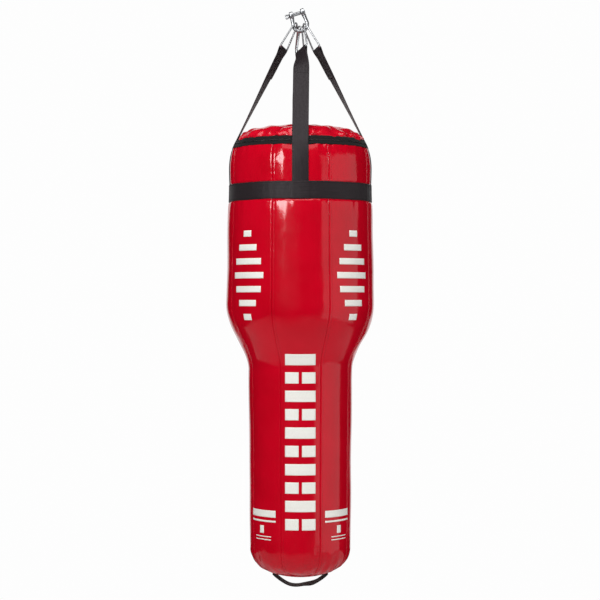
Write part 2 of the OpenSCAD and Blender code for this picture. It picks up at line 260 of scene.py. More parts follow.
def lathe_mesh(profile, segments=64, closed_profile=True):
    """Vertices and faces of a profile of (radius, height) turned about Z. A radius is above zero."""
    profile = np.asarray(profile, float)
    a = np.linspace(0, 2 * math.pi, segments, endpoint=False)
    r, z = profile[:, 0][:, None], profile[:, 1][:, None]
    return turned(a, r, z).reshape(-1, 3), grid_faces(len(profile), segments, closed_profile, True)


# ---- materials ----

def linear(r, g, b):
    """A colour given as 0-255 screen values, as the shader wants it."""
    def one(c):
        c /= 255
        return c / 12.92 if c <= 0.04045 else ((c + 0.055) / 1.055) ** 2.4
    return one(r), one(g), one(b), 1


class Nodes:
    """Short names for building a material's nodes."""

    def __init__(self, name):
        self.material = bpy.data.materials.new(name)
        self.material.use_nodes = True
        self.tree = self.material.node_tree
        self.shader = self.tree.nodes["Principled BSDF"]

    def add(self, kind, **values):
        """A new node. A value is one of its settings, or else the value of an input, with _ for a space."""
        node = self.tree.nodes.new(kind)
        for key, value in values.items():
            if hasattr(node, key):
                setattr(node, key, value)
            else:
                node.inputs[key.replace("_", " ")].default_value = value
        return node

    def link(self, source, target):
        self.tree.links.new(source, target)

    def set(self, **values):
        for key, value in values.items():
            self.shader.inputs[key.replace("_", " ")].default_value = value

    def noise(self, vector, scale, detail=3, roughness=0.5):
        node = self.add("ShaderNodeTexNoise", Scale=scale, Detail=detail, Roughness=roughness)
        self.link(vector, node.inputs["Vector"])
        return node.outputs["Fac"]

    def ramp(self, value, low, high, start=0.0, end=1.0):
        """low to high, evenly, while value goes from start to end."""
        node = self.add("ShaderNodeMapRange", From_Min=start, From_Max=end, To_Min=low, To_Max=high)
        self.link(value, node.inputs["Value"])
        return node.outputs["Result"]

    def mix(self, value, first, second):
        node = self.add("ShaderNodeMix", data_type="RGBA")
        node.inputs[6].default_value = first
        node.inputs[7].default_value = second
        self.link(value, node.inputs[0])
        return node.outputs[2]

    def bump(self, height, strength, distance, after=None):
        """A normal bent by a height, on top of another bump."""
        node = self.add("ShaderNodeBump", Strength=strength, Distance=distance)
        self.link(height, node.inputs["Height"])
        if after:
            self.link(after, node.inputs["Normal"])
        return node.outputs["Normal"]

    def place(self, scale=(1, 1, 1), uv=False):
        """Object coordinates in metres, or the piece's own UV map in metres, times scale."""
        source = self.add("ShaderNodeTexCoord").outputs["UV" if uv else "Object"]
        mapping = self.add("ShaderNodeMapping", Scale=scale)
        self.link(source, mapping.inputs["Vector"])
        return mapping.outputs["Vector"]


def vinyl(name, deep, bright, rough=(0.09, 0.16)):
    """Glossy coated vinyl: two close colours, a fine leather grain and uneven gloss."""
    n = Nodes(name)
    at = n.place()
    n.link(n.mix(n.ramp(n.noise(at, 9, 2), 0, 1, 0.3, 0.7), deep, bright), n.shader.inputs["Base Color"])
    n.link(n.ramp(n.noise(at, 30, 4, 0.65), *rough, 0.3, 0.7), n.shader.inputs["Roughness"])
    grain = n.add("ShaderNodeTexVoronoi", Scale=620, feature="SMOOTH_F1")
    n.link(at, grain.inputs["Vector"])
    fine = n.bump(grain.outputs["Distance"], 0.22, 0.00012)
    n.link(n.bump(n.noise(at, 55, 3), 0.25, 0.0006, fine), n.shader.inputs["Normal"])
    n.set(IOR=1.5, Specular_IOR_Level=0.5)
    return n.material


def webbing(name, dark, light, rib=0.0011, column=0.0032, rough=(0.6, 0.8)):
    """Woven webbing. The UV map runs across the tape in X and along it in Y, in metres."""
    n = Nodes(name)
    at = n.place(uv=True)
    per_metre = 2 * math.pi / 20
    ribs = n.add("ShaderNodeTexWave", bands_direction="Y", Scale=per_metre / rib, Distortion=0.5, Detail=1)
    columns = n.add("ShaderNodeTexWave", bands_direction="X", Scale=per_metre / column)
    for wave in (ribs, columns):
        n.link(at, wave.inputs["Vector"])
    long_streaks = n.noise(n.place((900, 14, 1), uv=True), 1, 3, 0.6)
    fuzz = n.noise(n.place(), 260, 4, 0.7)
    n.link(n.mix(n.ramp(long_streaks, 0, 1, 0.3, 0.7), dark, light), n.shader.inputs["Base Color"])
    n.link(n.ramp(fuzz, *rough, 0.3, 0.7), n.shader.inputs["Roughness"])
    weave = n.bump(ribs.outputs["Fac"], 0.35, 0.0002)
    weave = n.bump(columns.outputs["Fac"], 0.35, 0.0003, weave)
    n.link(n.bump(fuzz, 0.3, 0.0002, weave), n.shader.inputs["Normal"])
    n.set(Sheen_Weight=0.06, Sheen_Roughness=0.5, Specular_IOR_Level=0.3)
    return n.material


def chrome(name, tint, rough=(0.27, 0.4)):
    """Plated steel with faint polishing marks and dull spots."""
    n = Nodes(name)
    at = n.place()
    marks = n.noise(n.place((60, 60, 200)), 3, 4, 0.6)
    n.link(n.ramp(n.noise(at, 70, 5, 0.7), *rough, 0.35, 0.75), n.shader.inputs["Roughness"])
    shade = tuple(c * 0.82 for c in tint[:3]) + (1,)
    n.link(n.mix(n.ramp(n.noise(at, 120, 4), 0, 1, 0.3, 0.7), shade, tint), n.shader.inputs["Base Color"])
    n.link(n.bump(marks, 0.05, 0.0001), n.shader.inputs["Normal"])
    n.set(Metallic=0.9, IOR=2.2)
    return n.material


def painted(name, colour, worn, rough=(0.28, 0.45)):
    """Painted small metal, with the paint thinner in patches."""
    n = Nodes(name)
    at = n.place()
    wear = n.ramp(n.noise(at, 350, 4, 0.7), 0, 1, 0.5, 0.8)
    n.link(n.mix(wear, colour, worn), n.shader.inputs["Base Color"])
    n.link(n.ramp(n.noise(at, 180, 4), *rough, 0.3, 0.7), n.shader.inputs["Roughness"])
    n.link(n.bump(n.noise(at, 900, 2), 0.15, 0.0001), n.shader.inputs["Normal"])
    n.set(Specular_IOR_Level=0.6)
    return n.material


def textile(name, first, second, scale, depth=0.0006):
    """Loose cloth, foam or rags, from the piece's own place."""
    n = Nodes(name)
    at = n.place()
    weave = n.noise(at, scale, 5, 0.7)
    n.link(n.mix(n.ramp(n.noise(at, scale / 12, 3), 0, 1, 0.35, 0.65), first, second),
           n.shader.inputs["Base Color"])
    n.link(n.ramp(weave, 0.8, 0.95, 0.3, 0.7), n.shader.inputs["Roughness"])
    n.link(n.bump(weave, 0.5, depth), n.shader.inputs["Normal"])
    n.set(Specular_IOR_Level=0.2)
    return n.material


RED = vinyl("red_vinyl", linear(192, 2, 27), linear(206, 4, 33))
COVER_RED = vinyl("cover_vinyl", linear(196, 3, 28), linear(212, 7, 38), (0.14, 0.24))
WEB = webbing("black_webbing", linear(22, 15, 18), linear(44, 34, 39), rough=(0.4, 0.62))
LOOP_WEB = webbing("loop_webbing", linear(11, 11, 11), linear(29, 27, 28))
TAPE = webbing("zip_tape", linear(9, 9, 10), linear(20, 19, 20), 0.0008, 0.0022, (0.75, 0.9))
STEEL = chrome("shackle_chrome", (0.6, 0.61, 0.63, 1))
WIRE = chrome("ring_chrome", (0.64, 0.65, 0.67, 1), (0.36, 0.5))
ZIP_METAL = painted("zip_metal", linear(30, 30, 32), linear(90, 90, 92))
TEETH = painted("zip_teeth", linear(10, 10, 11), linear(30, 29, 30), (0.4, 0.55))
THREAD = textile("black_thread", linear(18, 14, 15), linear(40, 34, 36), 2500, 0.0001)
RED_THREAD = textile("red_thread", linear(120, 6, 20), linear(165, 12, 32), 2500, 0.0001)
PRINT = painted("white_print", linear(246, 245, 238), linear(232, 228, 218), (0.3, 0.42))
FOAM = textile("foam", linear(120, 126, 130), linear(150, 156, 160), 500)
SACK = textile("sack_cloth", linear(205, 198, 178), linear(222, 215, 198), 900)
RAGS = textile("textile_filling", linear(110, 104, 100), linear(176, 168, 156), 160, 0.002)


# ---- the shell's surface ----

# Points of the outline on the side, before the curve of the base begins
SIDE_POINTS = 700


def side_r(z):
    """The shell's radius at height z on the side: shoulder, upper part, taper and lower part."""
    z = np.asarray(z, float)
    shoulder = UPPER_R - (UPPER_R - RIM_R) * ((z - SHOULDER_Z) / (RIM_Z - SHOULDER_Z)) ** 2
    upper = UPPER_R + (WIDE_R - UPPER_R) * (SHOULDER_Z - z) / (SHOULDER_Z - TAPER_TOP)
    t = np.clip((TAPER_TOP - z) / (TAPER_TOP - TAPER_BOTTOM), 0, 1)
    taper = WIDE_R + (NARROW_R - WIDE_R) * smooth(t ** 1.15)
    lower = NARROW_R + (BASE_R - NARROW_R) * (TAPER_BOTTOM - z) / (TAPER_BOTTOM - BASE_Z)
    return np.select([z > SHOULDER_Z, z > TAPER_TOP, z > TAPER_BOTTOM], [shoulder, upper, taper], lower)


def outline():
    """The shell's outline from the rim down to the middle of the base, as radius, height and length."""
    z = np.linspace(RIM_Z, BASE_Z, SIDE_POINTS)
    a = np.linspace(0, math.pi / 2, 160)[1:]
    r = np.concatenate([side_r(z), BASE_R * np.cos(a) ** (2 / BASE_POWER)])
    z = np.concatenate([z, BASE_Z - BASE_H * np.sin(a) ** (2 / BASE_POWER)])
    r[-1] = 0
    return r, z, np.concatenate([[0], np.cumsum(np.hypot(np.diff(r), np.diff(z)))])


OUT_R, OUT_Z, OUT_S = outline()
OUT_NR, OUT_NZ = -np.gradient(OUT_Z, OUT_S), np.gradient(OUT_R, OUT_S)


def outline_at(s):
    """Radius, height and outward direction (radial, upward) of the outline at length s."""
    return (np.interp(s, OUT_S, values) for values in (OUT_R, OUT_Z, OUT_NR, OUT_NZ))


def length_at(z):
    """Length down the outline from the rim to height z on the side."""
    return np.interp(-np.asarray(z, float), -OUT_Z, OUT_S)


def length_on_base(r):
    """Length down the outline from the rim to radius r on the base."""
    return float(np.interp(-r, -OUT_R[SIDE_POINTS:], OUT_S[SIDE_POINTS:]))


RIM_TO_DISC = length_on_base(DISC_R)


def strap_mask(x, r, soft=6 * MM):
    """1 where a hanging strap lies at angle x and radius r, and 0 a little beside it."""
    quarter = (x + math.pi / 4) % (math.pi / 2) - math.pi / 4
    return 1 - smooth((np.abs(quarter) * r - STRAP_W / 2 - 1 * MM) / soft)


def sewn_masks(x, z, r):
    """1 where the straps and where the band lie on the shell, and 0 a few millimetres away from them."""
    strap = strap_mask(x, r, 24 * MM) * smooth((z - BAND_BOTTOM + 1 * MM) / (2 * MM))
    band = smooth((z - BAND_BOTTOM + 4 * MM) / (4 * MM)) * smooth((BAND_TOP + 4 * MM - z) / (4 * MM))
    return strap, band


def strap_sink(z):
    """How deep a strap presses in at height z: most at the zip's edge and where the band holds it."""
    at_rim = (RIM_SINK - STRAP_SINK) * np.exp(-np.abs(RIM_Z - z) / (14 * MM))
    return STRAP_SINK + at_rim + 1.8 * MM * bell(z - (BAND_TOP + BAND_BOTTOM) / 2, 40 * MM)


def cinch(z):
    """How far the band draws the bag in round height z."""
    return -1.5 * MM * bell(z - (BAND_TOP + BAND_BOTTOM) / 2, 58 * MM)


def tuck(r):
    """How far the base is drawn up towards its middle."""
    return -2.5 * MM * smooth((118 * MM - r) / (40 * MM))


def relief(x, s):
    """How far the sewn and stuffed shell stands off its outline, at angle x and length s."""
    r, z, _, _ = outline_at(s)
    gore = math.radians(GORE)
    from_seam = (x - math.radians(FIRST_SEAM) + gore / 2) % gore - gore / 2
    d = from_seam * r
    across = np.abs(from_seam) / (gore / 2)
    fade = smooth((r - DISC_R) / (25 * MM))

    crown = 1.8 * MM * (1 - (1 - across) ** 2) - 1.2 * MM
    seam = -0.9 * MM * bell(d, 1.2 * MM) + 0.25 * MM * bell(np.abs(d) - 4.5 * MM, 3 * MM)
    seam -= 0.3 * MM * bell(d - 8 * MM, 1.1 * MM)
    pucker = 0.3 * MM * np.sin(2 * math.pi * s / (19 * MM) + 3 * waves(x, 5, 3, 9)) * bell(d, 9 * MM)
    pucker *= 0.6 + 0.4 * lumps(x, s, 6, (1, 5), (0.12, 0.3))

    down = RIM_Z - z
    part = np.clip(down / (RIM_Z - BAND_TOP), 0, 1)
    swell = 1.2 * MM * 4 * part * (1 - part)
    below = np.clip(BAND_BOTTOM - z, 0, None)
    swell += 1.6 * MM * below / (32 * MM) * np.exp(1 - below / (32 * MM))
    gathers = 0.8 * MM * waves(x, 11, 34, 66) * np.exp(-down / (20 * MM))
    gathers += 0.7 * MM * waves(x, 12, 26, 54) * np.exp(-below / (26 * MM)) * (below > 0)
    above = np.clip(z - BAND_TOP, 0, None)
    gathers += 0.6 * MM * waves(x, 13, 26, 54) * np.exp(-above / (18 * MM)) * (above > 0)

    soft = 0.55 * MM * lumps(x, s, 21, (2, 7), (0.16, 0.5))
    taper = bell(z - (TAPER_TOP + TAPER_BOTTOM) / 2, 0.1)
    creases = 0.5 * MM * taper * lumps(x, s, 22, (4, 16), (0.05, 0.16))
    bottom = smooth((BASE_Z + 20 * MM - z) / (60 * MM))
    base = bottom * (0.6 * MM * waves(x, 23, 18, 40) + 0.7 * MM * lumps(x, s, 24, (6, 20), (0.03, 0.09)))

    total = (crown + seam + pucker) * fade + swell + gathers + soft + creases + base * fade
    strap, band = sewn_masks(x, z, r)
    total = total * (1 - np.maximum(strap, band)) - np.maximum(strap_sink(z) * strap, BAND_SINK * band)
    return total + cinch(z) + tuck(r) * (z < BASE_Z)


def on_shell(x, s, off=0.0, bare=False):
    """Points of the shell's surface, moved out by off. A bare point leaves the relief out."""
    x, s = np.broadcast_arrays(np.asarray(x, float), np.asarray(s, float))
    out = off + (0 if bare else relief(x, s))
    r, z, out_r, out_z = outline_at(s)
    return turned(x, r + out * out_r, z + out * out_z)


def gore_angles():
    """Angles across one gore, close together at its seams, from 0 to 1."""
    near = np.array([0, 0.18, 0.4, 0.65, 0.95, 1.3, 1.7, 2.1, 2.5, 2.9, 3.5])
    middle = np.linspace(4.4, GORE - 4.4, 34)
    return np.concatenate([near, middle, GORE - near[::-1]]) / GORE


def shell_rows():
    """Lengths down the shell, close together where it is sewn."""
    sewn = length_at([RIM_Z, BAND_TOP, BAND_BOTTOM])
    s, out = 0.0, []
    while s < RIM_TO_DISC:
        out.append(s)
        s += 2 * MM + 3.4 * MM * smooth(min(abs(s - k) for k in sewn) / (50 * MM))
    return np.array(out + [RIM_TO_DISC])


def build_shell():
    """The eight stuffed gores."""
    rows = shell_rows()
    for i in range(8):
        start = math.radians(FIRST_SEAM + GORE * i)
        x = start + SEAM_GAP + (math.radians(GORE) - 2 * SEAM_GAP) * gore_angles()
        X, S = np.meshgrid(x, rows)
        outer = on_shell(X, S)
        inner = on_shell(X, S, -(SHELL_T - 0.6 * MM))
        uv = np.stack([X * WIDE_R, S], -1)
        slab(f"gore_{i + 1}", outer, inner, RED, "red_vinyl", f"panel_{i + 1}", uv, fill=0.95, wrap=False)


def build_base():
    """The round piece that closes the shell, sewn in round its edge."""
    x = np.linspace(0, 2 * math.pi, 120, endpoint=False)
    X, S = np.meshgrid(x, np.linspace(RIM_TO_DISC + 0.5 * MM, OUT_S[-1] - 1 * MM, 26))
    from_edge = S - RIM_TO_DISC
    pucker = 0.5 * MM * waves(X, 31, 20, 44) * np.exp(-from_edge / (14 * MM))
    pucker -= 0.8 * MM * np.exp(-from_edge / (1.5 * MM))
    off = pucker + tuck(np.interp(S, OUT_S, OUT_R))
    outer, inner = (on_shell(X, S, off + lift, bare=True) for lift in (0.2 * MM, -1.2 * MM))
    slab("base_disc", outer, inner, RED, "red_vinyl", "bottom_disc", np.stack([X * DISC_R, S], -1), fill=0.9)


# ---- webbing ----

def tape_section():
    """Points round the section of a strap, as place across the width and distance from its middle layer."""
    half, t = STRAP_W / 2, STRAP_T / 2
    across = np.linspace(-half + t, half - t, 17)
    bend = np.linspace(-math.pi / 2, math.pi / 2, 5)[1:-1]
    right = [(half - t + t * math.cos(b), -t * math.sin(b)) for b in bend]
    left = [(-w, -h) for w, h in right]
    return [(w, t) for w in across] + right + [(w, -t) for w in across[::-1]] + left


def tape(name, stations, material, node):
    """A flat woven strap with rounded edges. A station is (middle, width direction, outward, curve), and
    curve is 1 / radius of the bend across the width, or 0."""
    section = tape_section()
    verts, uvs, length, last = [], [], 0.0, None
    for middle, wide, out, curve in stations:
        if last is not None:
            length += np.linalg.norm(middle - last)
        last = middle
        for w, h in section:
            if curve:
                a, radius = w * curve, 1 / curve
                along, up = math.sin(a) * (radius + h), math.cos(a) * (radius + h) - radius
                verts.append(middle + wide * along + out * up)
            else:
                verts.append(middle + wide * w + out * h)
            uvs.append((w, length))
    n = len(section)
    faces = grid_faces(len(stations), n, False, True)
    faces += [tuple(reversed(range(n))), tuple(range(len(verts) - n, len(verts)))]
    piece(name, verts, faces, material, "webbing", node, uvs=uvs)


class Strap:
    """One hanging strap's and ring's places. The ring follows the CAD part's own rules."""
    layer = STRAP_T / 2 + 0.2 * MM
    loop = WIRE_R + 0.6 * MM + STRAP_T / 2
    merge = 26 * MM

    def __init__(self, name, azimuth, bow_angle, turn, untwist):
        self.name, self.azimuth, self.untwist = name, azimuth, untwist
        b = math.radians(bow_angle)
        cad_rim = facing(azimuth) * (COVER_R + 2.2 * MM) + np.array([0, 0, COVER_Z])
        self.rim = cad_rim - facing(azimuth) * RIM_SINK
        self.hook = np.array([BOW_R * math.sin(b), 0, ARC_Z - BOW_R * math.cos(b)])
        self.pull = unit(cad_rim - self.hook)
        self.round = facing(azimuth + 90)
        bar = around(unit(np.cross(self.pull, [math.cos(b), 0, math.sin(b)])), self.pull, turn)
        self.bar = bar if bar.dot(self.round) > 0 else -bar
        self.middle = self.hook + RING_LEN * self.pull
        sine = np.cross(self.bar, self.round).dot(self.pull)
        self.twist = math.degrees(math.atan2(sine, self.bar.dot(self.round)))
        self.run = np.linalg.norm(self.rim - self.middle)
        self.way = unit(self.rim - self.middle)

    def wide(self, d):
        """The strap's width direction at d along the run, as it turns from the ring's bar to the rim."""
        v = around(self.bar, self.pull, self.twist * float(smooth(d / self.run / self.untwist)))
        return unit(v - self.way * v.dot(self.way))

    def out(self, d):
        return np.cross(self.way, self.wide(d))

    def at(self, d, side):
        """Middle, width and outward direction of a layer, d along the run. side is 1 outside, -1 inside."""
        off = self.layer
        if d < self.merge:
            off = self.loop + (self.layer - self.loop) * float(smooth(d / self.merge))
        return self.middle + d * self.way + side * off * self.out(d), self.wide(d), self.out(d)


def free_stations(s):
    """Stations of a strap's folded end, its loop round the ring and its free run."""
    stations = []
    for d in np.linspace(FOLD_BACK, 0, 24):
        middle, wide, out = s.at(d, -1)
        stations.append((middle, wide, -out, 0))
    for a in np.radians(np.arange(165, 1, -15)):
        out = math.cos(a) * s.out(0) - math.sin(a) * s.way
        stations.append((s.middle + s.loop * out, s.wide(0), out, 0))
    for d in np.concatenate([np.linspace(0, s.merge, 9), np.linspace(s.merge, s.run, 40)[1:]]):
        middle, wide, out = s.at(d, 1)
        stations.append((middle, wide, out, 0))
    return stations


def sewn_stations(s, first):
    """Stations of a strap's sewn part: from first over the zip, and down the shell to under the band."""
    stations = []
    away = facing(s.azimuth)
    slope = unit(away * ZIP_RISE + np.array([0, 0, ZIP_RUN]))
    rim = away * (RIM_R + 2.6 * MM - RIM_SINK) + np.array([0, 0, RIM_Z])
    for t in (0.3, 0.6, 0.85):
        middle = first + (rim - first) * t + slope * 0.6 * MM * math.sin(math.pi * t)
        stations.append((middle, s.round, slope, t / RIM_R * 0.6))
    near_rim = np.linspace(RIM_Z - 1 * MM, -402 * MM, 5)
    for z in np.concatenate([near_rim, np.linspace(-408 * MM, BAND_BOTTOM + 1 * MM, 34)]):
        lift = STRAP_T / 2 + 0.8 * MM - float(strap_sink(z))
        r = float(side_r(z) + cinch(z)) + lift
        tilt = unit(away + np.array([0, 0, 1]) * max(0.0, (z - SHOULDER_Z) / 60 / MM * 0.24))
        stations.append((away * r + np.array([0, 0, z]), s.round, tilt, 1 / r))
    return stations


def thread_mesh(a, b, up, size):
    """Vertices and faces of one stitch from a to b: a short six-sided thread, thick in the middle."""
    along = b - a
    side = unit(np.cross(up, along))
    shape = ((-0.5, 0.35), (-0.38, 0.9), (0, 1.1), (0.38, 0.9), (0.5, 0.35))
    verts = []
    for t, w in shape:
        centre = (a + b) / 2 + along * t + up * size * 0.25 * (w - 0.6)
        for angle in np.arange(6) * math.pi / 3:
            verts.append(centre + (side * math.cos(angle) + up * math.sin(angle) * 0.8) * size / 2 * w)
    ends = [tuple(reversed(range(6))), tuple(range(24, 30))]
    return verts, grid_faces(len(shape), 6, False, True) + ends


def stitch_run(points, normals, size, pitch, gap=0.35):
    """Stitches laid end to end along a line of points. gap is the share of the pitch without thread."""
    points, normals = np.asarray(points, float), np.asarray(normals, float)
    length = np.concatenate([[0], np.cumsum(np.linalg.norm(np.diff(points, axis=0), axis=1))])
    count = max(1, int(length[-1] / pitch))
    step = length[-1] / count

    def at(place, values):
        return np.array([np.interp(place, length, values[:, i]) for i in range(3)])
    threads = []
    for k in range(count):
        mid, half = (k + 0.5) * step, step * (1 - gap) / 2
        a, b = at(mid - half, points), at(mid + half, points)
        threads.append(thread_mesh(a, b, unit(at(mid, normals)), size))
    return joined(threads)


def stitches(name, lines, size, pitch, material, slot):
    """One piece of thread from several lines of (points, normals)."""
    verts, faces = joined([stitch_run(points, normals, size, pitch) for points, normals in lines])
    piece(name, verts, faces, material, slot)


def box_stitch(s, near, far, half, lift, side):
    """Lines of a box with a cross in it, sewn through a strap between two places on its run."""
    corners = [(near, -half), (near, half), (far, half), (far, -half)]
    lines = list(zip(corners, corners[1:] + corners[:1]))
    lines += [((near, -half), (far, half)), ((near, half), (far, -half))]
    out = []
    for (d0, w0), (d1, w1) in lines:
        points, normals = [], []
        for t in np.linspace(0, 1, 12):
            d, w = d0 + (d1 - d0) * t, w0 + (w1 - w0) * t
            middle, wide, up = s.at(d, side)
            points.append(middle + wide * w + side * up * lift)
            normals.append(side * up)
        out.append((points, normals))
    return out


def build_straps():
    """The four hanging straps and the thread that closes their loops."""
    lines = []
    for spec in STRAPS:
        s = Strap(*spec)
        stations = free_stations(s)
        stations += sewn_stations(s, stations[-1][0])
        tape(f"hanging_strap_{s.name}", stations, WEB, f"strap_{s.name}")
        for side in (1, -1):
            lines += box_stitch(s, 34 * MM, 80 * MM, 18 * MM, STRAP_T / 2, side)
    stitches("strap_stitches", lines, 0.9 * MM, 4.2 * MM, THREAD, "webbing")


def band_lift(x):
    """Distance from the shell's outline to the band's inner face: it steps out over the straps."""
    quarter = np.abs((x + math.pi / 4) % (math.pi / 2) - math.pi / 4)
    over = math.radians(6.7)
    return 0.2 * MM - BAND_SINK + 1.1 * MM * (1 - smooth((quarter - over) / math.radians(1.7)))


def band_wobble(x):
    """How far the band strays up or down at angle x."""
    return 0.5 * MM * waves(x, 41, 3, 11)


def build_band():
    """The waist band, and the two rows of thread that sew it down."""
    t = 1.6 * MM
    x = np.linspace(0, 2 * math.pi, 480, endpoint=False)
    z = np.linspace(BAND_TOP, BAND_BOTTOM, 25)
    X, Z = np.meshgrid(x, z)
    edge = np.minimum(np.abs(Z - BAND_TOP), np.abs(Z - BAND_BOTTOM))
    wobble = band_wobble(X) + 0.25 * MM * waves(X, 42, 20, 40) * bell(edge, 6 * MM)
    seat = band_lift(X) + 0.15 * MM * waves(X, 43, 16, 36) ** 2
    dent = 0.3 * MM * bell(edge - 3.5 * MM, 0.9 * MM) + 0.35 * MM * bell(edge, 0.8 * MM)
    r = side_r(Z) + cinch(Z) + seat
    outer, inner = (turned(X, radius, Z + wobble) for radius in (r + t - dent, r + 0.1 * MM))
    slab("sewn_band", outer, inner, WEB, "webbing", "waist_band", np.stack([Z, X * UPPER_R], -1))
    lines = []
    for below_top in (3.5 * MM, 44.5 * MM):
        x = np.linspace(0, 2 * math.pi, 721)
        z = BAND_TOP - below_top + band_wobble(x)
        radius = side_r(z) + cinch(z) + band_lift(x) + t - 0.15 * MM
        lines.append((turned(x, radius, z), turned(x, 1, 0)))
    stitches("band_stitches", lines, 0.8 * MM, 4.4 * MM, THREAD, "webbing")


# ---- top cover and zip ----

def closed_dome(grid):
    """A closed mesh object made from a domed grid. Its first row and its underside are sewn down."""
    rows, cols = grid.shape[:2]
    ends = np.array([grid[0].mean(0), grid[-1].mean(0)])
    under, top = rows * cols, rows * cols + 1
    faces = grid_faces(rows, cols, wrap_cols=True)
    for j in range(cols):
        faces.append((under, (j + 1) % cols, j))
        faces.append((top, (rows - 1) * cols + j, (rows - 1) * cols + (j + 1) % cols))
    mesh = bpy.data.meshes.new("swelling")
    mesh.from_pydata([tuple(v) for v in np.concatenate([grid.reshape(-1, 3), ends])], [], faces)
    obj = bpy.data.objects.new("swelling", mesh)
    bpy.context.scene.collection.objects.link(obj)
    obj.vertex_groups.new(name="sewn").add(list(range(cols)) + [under], 1.0, "REPLACE")
    return obj


def swollen(grid, frames=20, growth=0.05, pressure=4.0, cap=5 * MM):
    """Lets a domed grid swell as cloth that is sewn down along its first row. growth is its spare length.

    No point moves further than cap."""
    obj = closed_dome(grid)
    cloth = obj.modifiers.new("cloth", "CLOTH")
    values = cloth.settings
    values.quality = 6
    values.mass = 0.3
    values.tension_stiffness = values.compression_stiffness = 15
    values.shear_stiffness = 5
    values.bending_stiffness = 0.5
    values.shrink_min = -growth
    values.use_pressure = True
    values.uniform_pressure_force = pressure
    values.vertex_group_mass = "sewn"
    values.effector_weights.gravity = 0
    cloth.collision_settings.use_collision = False
    cloth.point_cache.frame_start, cloth.point_cache.frame_end = 1, frames
    scene = bpy.context.scene
    for frame_number in range(1, frames + 1):
        scene.frame_set(frame_number)
    evaluated = obj.evaluated_get(bpy.context.evaluated_depsgraph_get())
    points = np.array([v.co[:] for v in evaluated.data.vertices])[:-2].reshape(grid.shape)
    mesh = obj.data
    bpy.data.objects.remove(obj)
    bpy.data.meshes.remove(mesh)
    scene.frame_set(1)
    move = points - grid
    length = np.linalg.norm(move, axis=-1, keepdims=True)
    return grid + move * np.minimum(1, cap / np.maximum(length, 1e-9))


def ironed(grid, passes):
    """Smooths the finest wrinkles out of a grid that closes round its columns."""
    for _ in range(passes):
        grid = (np.roll(grid, 1, 1) + 2 * grid + np.roll(grid, -1, 1)) / 4
        grid[1:-1] = (grid[:-2] + 2 * grid[1:-1] + grid[2:]) / 4
    return grid


def outward_normals(grid):
    """Normals of a grid that closes round its columns, pointing away from the bag's axis or up."""
    along = np.roll(grid, -1, 1) - np.roll(grid, 1, 1)
    normals = np.cross(along, np.gradient(grid, axis=0))
    normals /= np.linalg.norm(normals, axis=-1, keepdims=True) + 1e-12
    return normals if normals[..., 2].mean() > 0 else -normals


def held_down(grid):
    """Presses the cover in where the taut straps lie on it."""
    strap_slope = 0.58
    radius, height = np.hypot(grid[..., 0], grid[..., 1]), grid[..., 2]
    turn = np.arctan2(grid[..., 1], grid[..., 0])
    limit = COVER_R + 2.2 * MM - RIM_SINK - STRAP_T - 0.8 * MM - (height - COVER_Z) * strap_slope
    radius = radius - strap_mask(turn, radius, 12 * MM) * np.clip(radius - limit, 0, None)
    return turned(turn, radius, height)


def build_cover():
    """The stuffed cover: a low dome, swollen as cloth, whose edge is gathered into the zip."""
    x = np.linspace(0, 2 * math.pi, 320, endpoint=False)
    t = np.concatenate([np.linspace(0, 0.35, 22), np.linspace(0.35, 0.998, 34)[1:]])
    X, T = np.meshgrid(x, t)
    angle = T * math.pi / 2
    from_edge = (1 - np.cos(angle)) * COVER_R + COVER_H * np.sin(angle)
    folds = waves(X + 0.2 * np.sin(5 * X) * T, 51, 26, 44, 7)
    big = waves(X, 52, 9, 19)
    start = smooth(from_edge / (7 * MM))
    out = (3 * MM * folds + 3.4 * MM * big) * np.exp(-from_edge / (42 * MM)) * start
    out += 2.0 * MM * lumps(X, from_edge, 53, (4, 12), (0.05, 0.12)) * start * np.cos(angle)
    radius = (COVER_R - 0.3 * MM) * np.cos(angle) + out * np.cos(angle)
    height = COVER_Z + (COVER_H - 5 * MM) * np.sin(angle) ** 0.95 + out * np.sin(angle)
    grid = ironed(swollen(turned(X, radius, height)), 5)
    strayed = X + 0.25 * np.sin(3 * X) * T
    pleats = 2.4 * MM * waves(strayed, 54, 24, 40, 6) * bell(from_edge - 14 * MM, 22 * MM)
    pleats += 2.6 * MM * lumps(X, from_edge, 55, (5, 13), (0.06, 0.14)) * np.cos(angle)
    grid += (pleats * start)[..., None] * outward_normals(grid)

    droop = (6 * MM * np.clip(big, 0, 1.2) + 1.5 * MM * folds) * np.exp(-from_edge / (11 * MM))
    radius = np.hypot(grid[..., 0], grid[..., 1]) + droop * 0.45
    turn = np.arctan2(grid[..., 1], grid[..., 0])
    grid = held_down(turned(turn, radius, grid[..., 2] - droop * 0.9))
    inner = grid - 1.6 * MM * outward_normals(grid)
    uv = np.stack([X * COVER_R, from_edge], -1)
    slab("gathered_cover", grid, inner, COVER_RED, "red_vinyl", "top_cover", uv, fill=0.75)


ZIP_UP = np.array([-ZIP_RUN, ZIP_RISE]) / ZIP_LEN
ZIP_OUT = np.array([ZIP_RISE, ZIP_RUN]) / ZIP_LEN


def zip_point(x, up, out):
    """A point of the zip at angle x, up its slope and out of it. The straps press it in as they cross."""
    out = out - RIM_SINK * strap_mask(x, RIM_R)
    r = ZIP_MID[0] + up * ZIP_UP[0] + out * ZIP_OUT[0]
    z = ZIP_MID[1] + up * ZIP_UP[1] + out * ZIP_OUT[1]
    return turned(x, r, z)


